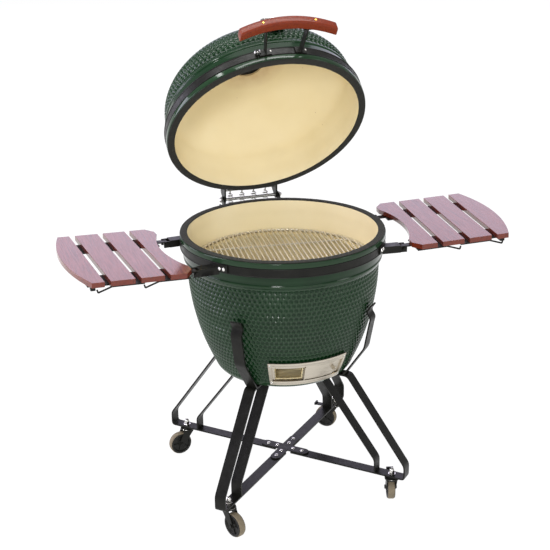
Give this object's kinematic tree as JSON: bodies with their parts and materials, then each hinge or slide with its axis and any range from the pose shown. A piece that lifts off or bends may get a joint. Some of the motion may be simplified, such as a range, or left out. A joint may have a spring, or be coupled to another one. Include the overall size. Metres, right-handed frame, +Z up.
{
  "type": "ceramic kamado charcoal grill",
  "caption": "Egg-shaped ceramic charcoal grill with hinged lid on a four-caster bar stand, with two folding slatted side shelves.",
  "frame": {"origin": "on the floor, under the middle of the whole object's box with the lid open", "axes": "+Z up, +X along the lid hinge to the right side shelf, -Y the front with the handle and the draft door"},
  "size_m": [1.3498, 0.7662, 1.491],
  "materials": {
    "green_glaze": "glossy dimpled dark green glaze outside, unglazed cream ceramic inside",
    "kiln_ceramic": "matte cream fired ceramic",
    "felt_gasket": "dense black felt",
    "black_steel": "satin black powder coat",
    "cast_iron": "matte black cast iron",
    "zinc_steel": "bright plated steel",
    "stainless": "satin stainless steel",
    "shelf_wood": "red-brown hardwood under glossy lacquer",
    "handle_wood": "red-brown hardwood, satin lacquer",
    "caster_tyre": "grey-tan rubber tread on a black plastic disc"
  },
  "bodies": {
    "base": {"base_shell": "green_glaze", "base_gasket": "felt_gasket", "base_band": "black_steel", "fire_box": "kiln_ceramic", "fire_ring": "kiln_ceramic", "charcoal_grate": "cast_iron", "draft_door_frame": "stainless", "hinge_base_bracket": "black_steel", "hinge_pin": "zinc_steel", "spring_anchor_rod": "zinc_steel", "hinge_spring_1": "zinc_steel", "hinge_spring_2": "zinc_steel", "hinge_spring_3": "zinc_steel", "hinge_spring_4": "zinc_steel", "shelf_bracket_left_front": "black_steel", "shelf_bracket_left_rear": "black_steel", "shelf_bracket_right_front": "black_steel", "shelf_bracket_right_rear": "black_steel", "leg_front_left": "black_steel", "leg_front_right": "black_steel", "leg_rear_right": "black_steel", "leg_rear_left": "black_steel", "stand_cross_plate": "black_steel", "stand_saddle_plate": "black_steel"},
    "lid": {"lid_shell": "green_glaze", "lid_gasket": "felt_gasket", "lid_band": "black_steel", "chimney_collar": "cast_iron", "thermometer_body": "stainless", "handle_grip": "handle_wood", "handle_bracket_left": "black_steel", "handle_bracket_right": "black_steel", "hinge_lid_bracket": "black_steel", "spring_lift_rod": "zinc_steel"},
    "vent": {"vent_disc": "cast_iron"},
    "needle": {"thermometer_needle": "black_steel"},
    "draft": {"draft_door_slider": "stainless"},
    "grid": {"cooking_grid": "zinc_steel"},
    "shelf_left": {"slat_left_1": "shelf_wood", "slat_left_2": "shelf_wood", "slat_left_3": "shelf_wood", "slat_left_4": "shelf_wood", "shelf_arm_left_front": "black_steel", "shelf_arm_left_rear": "black_steel"},
    "shelf_right": {"slat_right_1": "shelf_wood", "slat_right_2": "shelf_wood", "slat_right_3": "shelf_wood", "slat_right_4": "shelf_wood", "shelf_arm_right_front": "black_steel", "shelf_arm_right_rear": "black_steel"},
    "caster_front_left": {"caster_fork_front_left": "black_steel"},
    "wheel_front_left": {"caster_wheel_front_left": "caster_tyre"},
    "caster_front_right": {"caster_fork_front_right": "black_steel"},
    "wheel_front_right": {"caster_wheel_front_right": "caster_tyre"},
    "pedal_front_right": {"brake_pedal_front_right": "black_steel"},
    "caster_rear_right": {"caster_fork_rear_right": "black_steel"},
    "wheel_rear_right": {"caster_wheel_rear_right": "caster_tyre"},
    "pedal_rear_right": {"brake_pedal_rear_right": "black_steel"},
    "caster_rear_left": {"caster_fork_rear_left": "black_steel"},
    "wheel_rear_left": {"caster_wheel_rear_left": "caster_tyre"}
  },
  "joints": [
    {"name": "lid_hinge", "type": "hinge", "parent": "base", "child": "lid", "pos_m": [0, 0.2867, 0.847], "axis": [-1, 0, 0], "range_deg": [-52.4, 0], "stiffness_Nm_per_rad": 70, "springref_deg": 21.77, "deforming": ["hinge_spring_1", "hinge_spring_2", "hinge_spring_3", "hinge_spring_4"]},
    {"name": "vent_rotate", "type": "hinge", "parent": "lid", "child": "vent", "pos_m": [0, 0.33229, 1.31718], "axis": [0, 0.7923, 0.6101], "range_deg": [0, 36]},
    {"name": "thermometer_needle_turn", "type": "hinge", "parent": "lid", "child": "needle", "pos_m": [0, 0.02499, 1.4376], "axis": [0, -0.1636, 0.9865], "range_deg": [-270, 0]},
    {"name": "draft_slide", "type": "hinge", "parent": "base", "child": "draft", "pos_m": [0, -0.058, 0.475], "axis": [0, 0, 1], "range_deg": [-21, 0]},
    {"name": "grid_lift", "type": "slide", "parent": "base", "child": "grid", "axis": [0, 0, 1], "range_m": [0, 0.15]},
    {"name": "shelf_left_fold", "type": "hinge", "parent": "base", "child": "shelf_left", "pos_m": [-0.32929, -0.08623, 0.809], "axis": [0.0854, -0.9963, 0], "range_deg": [0, 90]},
    {"name": "shelf_right_fold", "type": "hinge", "parent": "base", "child": "shelf_right", "pos_m": [0.32929, -0.08623, 0.809], "axis": [0.0854, 0.9963, 0], "range_deg": [0, 90]},
    {"name": "caster_swivel_front_left", "type": "hinge", "parent": "base", "child": "caster_front_left", "pos_m": [-0.26234, -0.32034, 0.06], "axis": [0, 0, 1], "continuous": true},
    {"name": "wheel_spin_front_left", "type": "hinge", "parent": "caster_front_left", "child": "wheel_front_left", "pos_m": [-0.25095, -0.34592, 0.0375], "axis": [0.9135, 0.4067, 0], "continuous": true},
    {"name": "caster_swivel_front_right", "type": "hinge", "parent": "base", "child": "caster_front_right", "pos_m": [0.26234, -0.32034, 0.06], "axis": [0, 0, 1], "continuous": true},
    {"name": "wheel_spin_front_right", "type": "hinge", "parent": "caster_front_right", "child": "wheel_front_right", "pos_m": [0.27052, -0.29356, 0.0375], "axis": [-0.9563, 0.2924, 0], "continuous": true},
    {"name": "brake_press_front_right", "type": "hinge", "parent": "caster_front_right", "child": "pedal_front_right", "pos_m": [0.26877, -0.2993, 0.079], "axis": [-0.9563, 0.2924, 0], "range_deg": [0, 10]},
    {"name": "caster_swivel_rear_right", "type": "hinge", "parent": "base", "child": "caster_rear_right", "pos_m": [0.26234, 0.20434, 0.06], "axis": [0, 0, 1], "continuous": true},
    {"name": "wheel_spin_rear_right", "type": "hinge", "parent": "caster_rear_right", "child": "wheel_rear_right", "pos_m": [0.24089, 0.22233, 0.0375], "axis": [-0.6428, -0.766, 0], "continuous": true},
    {"name": "brake_press_rear_right", "type": "hinge", "parent": "caster_rear_right", "child": "pedal_rear_right", "pos_m": [0.24548, 0.21848, 0.079], "axis": [-0.6428, -0.766, 0], "range_deg": [0, 10]},
    {"name": "caster_swivel_rear_left", "type": "hinge", "parent": "base", "child": "caster_rear_left", "pos_m": [-0.26234, 0.20434, 0.06], "axis": [0, 0, 1], "continuous": true},
    {"name": "wheel_spin_rear_left", "type": "hinge", "parent": "caster_rear_left", "child": "wheel_rear_left", "pos_m": [-0.28991, 0.19947, 0.0375], "axis": [0.1736, -0.9848, 0], "continuous": true}
  ]
}
